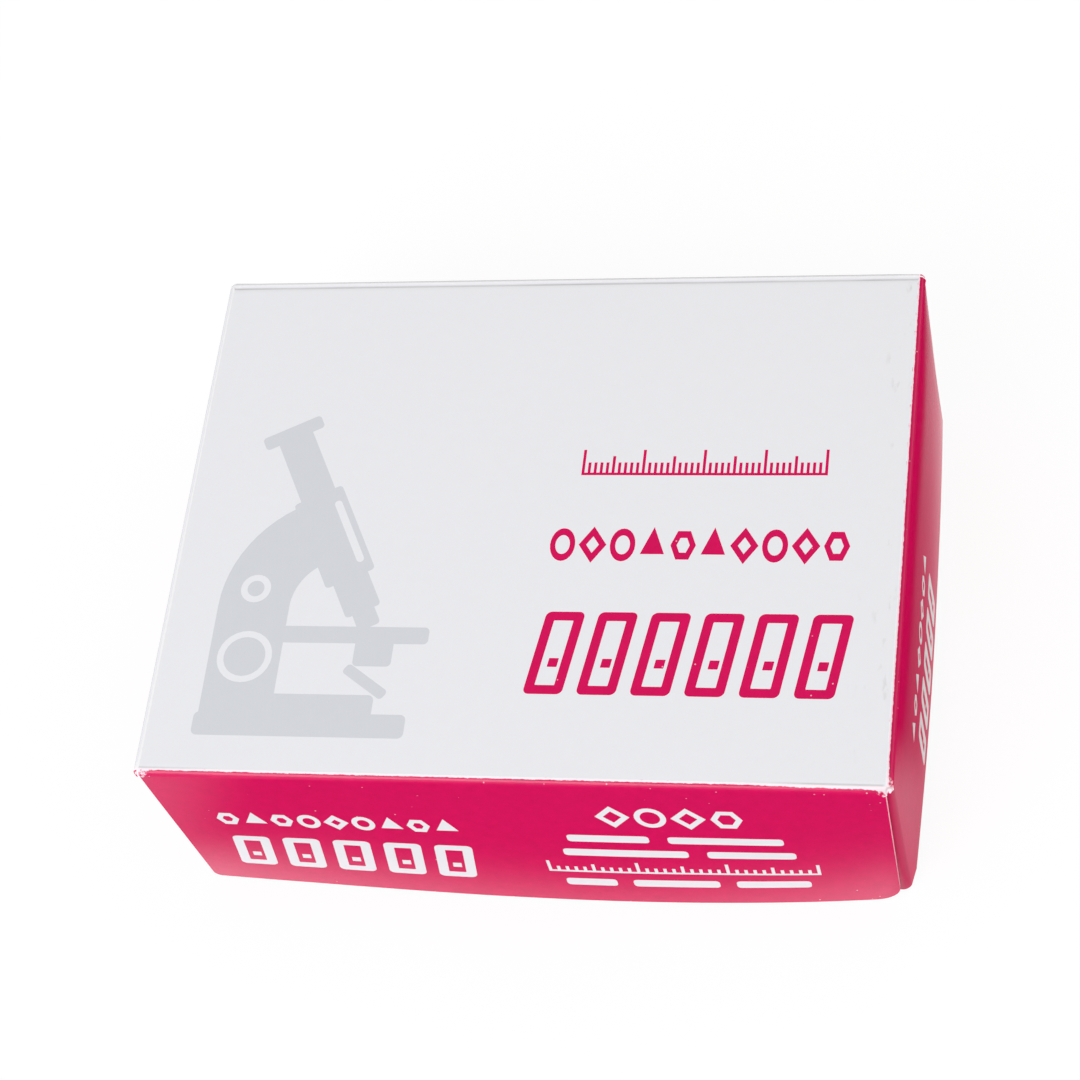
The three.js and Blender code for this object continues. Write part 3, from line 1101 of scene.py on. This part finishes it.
# In reflections only, a bright sheet is painted on the table, a little askew. It stops
# just short of the box's right side, and runs on behind it and to its left.
RIGHT_EDGE = (lid.length / 2 - 2.3) * MM  # from the box's middle
LEFT_EDGE = (lid.length / 2 + 13) * MM
RUN_ON = 10 * MM  # half of what it runs on behind the box
PAINTED_SHEET_BRIGHTNESS = 1.5
square_x = add(
    tree,
    "ShaderNodeVectorMath",
    {0: here, 1: (1, -0.03, 0)},
    operation="DOT_PRODUCT",
).outputs["Value"]
parts = add(tree, "ShaderNodeSeparateXYZ", {"Vector": here}).outputs
square = add(tree, "ShaderNodeCombineXYZ", {"X": square_x, "Y": parts["Y"]}).outputs[0]
centred = add(
    tree,
    "ShaderNodeVectorMath",
    {0: square, 1: ((LEFT_EDGE - RIGHT_EDGE) / 2, -RUN_ON, 0)},
    operation="ADD",
).outputs[0]
away = add(tree, "ShaderNodeVectorMath", {0: centred}, operation="ABSOLUTE").outputs[0]
beyond = add(
    tree,
    "ShaderNodeVectorMath",
    {0: away, 1: ((LEFT_EDGE + RIGHT_EDGE) / 2, lid.depth / 2 * MM + RUN_ON, 0)},
    operation="SUBTRACT",
).outputs[0]
outside = add(tree, "ShaderNodeVectorMath", {0: beyond, 1: (0, 0, 0)}, operation="MAXIMUM").outputs[0]
# This painted reflection dies out over 8 mm past its front and back, and sooner past its
# sides.
stretched = add(
    tree,
    "ShaderNodeVectorMath",
    {0: outside, 1: (1.2, 1, 1)},
    operation="MULTIPLY",
).outputs[0]
distance = add(tree, "ShaderNodeVectorMath", {0: stretched}, operation="LENGTH")
painted_sheet_reflection = add(
    tree,
    "ShaderNodeMapRange",
    {
        "Value": distance.outputs["Value"],
        "From Min": -3 * MM,
        "From Max": 8 * MM,
        "To Min": PAINTED_SHEET_BRIGHTNESS,
        "To Max": 0.0,
    },
    interpolation_type="SMOOTHERSTEP",
).outputs["Result"]
# A painted reflection of a grey board starts under its left side and goes on beyond it.
painted_board_reflection = add(
    tree,
    "ShaderNodeMapRange",
    {"Value": parts["X"], "From Min": -36 * MM, "From Max": -50 * MM, "To Max": 0.5},
    interpolation_type="SMOOTHSTEP",
).outputs["Result"]
# A painted reflection of a darker card lies off its right side, with its middle 27 mm to
# the front.
ahead = add(tree, "ShaderNodeMath", {0: parts["Y"], 1: 27 * MM}, operation="ADD").outputs[0]
off_middle = add(tree, "ShaderNodeMath", {0: ahead}, operation="ABSOLUTE").outputs[0]
painted_card_depth = add(
    tree,
    "ShaderNodeMapRange",
    {"Value": off_middle, "From Min": 17 * MM, "From Max": 7 * MM, "To Max": 0.32},
    interpolation_type="SMOOTHSTEP",
).outputs["Result"]
painted_card_side = add(
    tree,
    "ShaderNodeMapRange",
    {"Value": parts["X"], "From Min": 38 * MM, "From Max": 42 * MM},
    interpolation_type="SMOOTHSTEP",
).outputs["Result"]
painted_card_reflection = add(tree, "ShaderNodeMath", {0: painted_card_depth, 1: painted_card_side}, operation="MULTIPLY").outputs[0]
painted_sheet_and_board = add(
    tree,
    "ShaderNodeMath",
    {0: painted_sheet_reflection, 1: painted_board_reflection},
    operation="MAXIMUM",
).outputs[0]
painted_reflection = add(
    tree,
    "ShaderNodeMath",
    {0: painted_sheet_and_board, 1: painted_card_reflection},
    operation="MAXIMUM",
).outputs[0]
# Glossy rays see this painted reflection on the table.
mirrored = add(tree, "ShaderNodeEmission", {"Strength": painted_reflection}).outputs[0]
# To the eye, also through glass, it is mostly plain white, with an eighth of its real
# shading, which keeps the box's shadow.
PLAIN_SHARE = 0.88
PLAIN_WHITE = 1.02
seen = add(tree, "ShaderNodeEmission", {"Strength": PLAIN_WHITE}).outputs[0]
matt = add(tree, "ShaderNodeBsdfDiffuse", {"Color": linear("#f7f7f7")}).outputs[0]
direct = add(
    tree,
    "ShaderNodeMath",
    {0: ray["Is Camera Ray"], 1: ray["Is Transmission Ray"]},
    operation="MAXIMUM",
).outputs[0]
share = add(tree, "ShaderNodeMath", {0: direct, 1: PLAIN_SHARE}, operation="MULTIPLY").outputs[0]
plain = add(tree, "ShaderNodeMixShader", {0: share, 1: matt, 2: seen}).outputs[0]
glossy = add(tree, "ShaderNodeMixShader", {0: ray["Is Glossy Ray"], 1: plain, 2: mirrored})
add(tree, "ShaderNodeOutputMaterial", {"Surface": glossy.outputs[0]})
floor_mesh.materials.append(table_top)

# The room round it is white to the eye. Its light and the lamps' together make a colour
# show about as it is written.
AMBIENT = 0.71
world = bpy.data.worlds.new("studio")
world.use_nodes = True
bpy.context.scene.world = world
tree = world.node_tree
tree.nodes.clear()
ray = add(tree, "ShaderNodeLightPath").outputs
direct = add(
    tree,
    "ShaderNodeMath",
    {0: ray["Is Camera Ray"], 1: ray["Is Transmission Ray"]},
    operation="MAXIMUM",
).outputs[0]
# Reflections see its pale walls all round, and a dark ceiling.
toward = add(tree, "ShaderNodeTexCoord").outputs["Generated"]
height = add(tree, "ShaderNodeSeparateXYZ", {"Vector": toward}).outputs["Z"]
walls = add(
    tree,
    "ShaderNodeMapRange",
    {"Value": height, "From Min": 0.15, "From Max": 0.6, "To Min": 0.8, "To Max": 0.02},
    interpolation_type="SMOOTHSTEP",
).outputs["Result"]
ambient = add(
    tree,
    "ShaderNodeMapRange",
    {"Value": direct, "To Min": AMBIENT, "To Max": 1.0},
).outputs["Result"]
walls_less = add(tree, "ShaderNodeMath", {0: walls, 1: ambient}, operation="SUBTRACT").outputs[0]
strength = add(
    tree,
    "ShaderNodeMath",
    {0: walls_less, 1: ray["Is Glossy Ray"], 2: ambient},
    operation="MULTIPLY_ADD",
).outputs[0]
sky = add(tree, "ShaderNodeBackground", {"Color": linear("#ffffff"), "Strength": strength})
add(tree, "ShaderNodeOutputWorld", {"Surface": sky.outputs[0]})


# A broad soft box stands in front on the left, and is a little cool. A small warm one
# is low on the right, and the film doesn't mirror it.
def soft_box(name, place, size, power, tint, mirrored):
    """A square soft box that faces the box, with its size in metres and power in watts."""
    lamp = bpy.data.lights.new(name, "AREA")
    lamp.shape = "SQUARE"
    lamp.size = size
    lamp.energy = power
    lamp.color = linear(tint)[:3]
    holder = new_object(name, lamp)
    holder.location = place
    holder.rotation_mode = "QUATERNION"
    holder.rotation_quaternion = Vector(place).to_track_quat("Z", "Y")
    holder.visible_glossy = mirrored


soft_box("soft_box_front", (-0.38, -0.8, 0.75), 0.7, 6.6, "#f6f9ff", mirrored=True)
soft_box("soft_box_right", (1.0, 0.1, 0.12), 0.24, 3.6, "#ffeee6", mirrored=False)


# ---------------------------------------------------------------------- The camera
# A telephoto a forearm's length away, looking down on the front right corner and held
# askew, so that the box lies turned in the frame.
AZIMUTH = math.radians(25.16)
ELEVATION = math.radians(58.0)
ROLL = math.radians(-21.38)
DISTANCE = 0.32306  # m from the point that it looks at
AIM_RIGHT = -0.00219  # m from the box's middle to that point, across the view
AIM_UP = 0.00434  # the same, up the view
LENS = 96.6667  # mm, on a sensor 36 mm wide
back = Vector(
    (
        math.sin(AZIMUTH) * math.cos(ELEVATION),
        -math.cos(AZIMUTH) * math.cos(ELEVATION),
        math.sin(ELEVATION),
    )
)
level = (-back).cross(Vector((0, 0, 1))).normalized()
upright = level.cross(-back)
right = level * math.cos(ROLL) + upright * math.sin(ROLL)
top = upright * math.cos(ROLL) - level * math.sin(ROLL)
aim = Vector((0, 0, high.z / 2)) + right * AIM_RIGHT + top * AIM_UP
camera_data = bpy.data.cameras.new("camera")
camera_data.sensor_width = 36
camera_data.lens = LENS
camera_data.clip_start = 0.01
camera = new_object("camera", camera_data)
turned = Matrix((right, top, back)).transposed().to_4x4()
camera.matrix_world = Matrix.Translation(aim + back * DISTANCE) @ turned
bpy.context.scene.camera = camera

bpy.context.scene.view_settings.view_transform = "Standard"
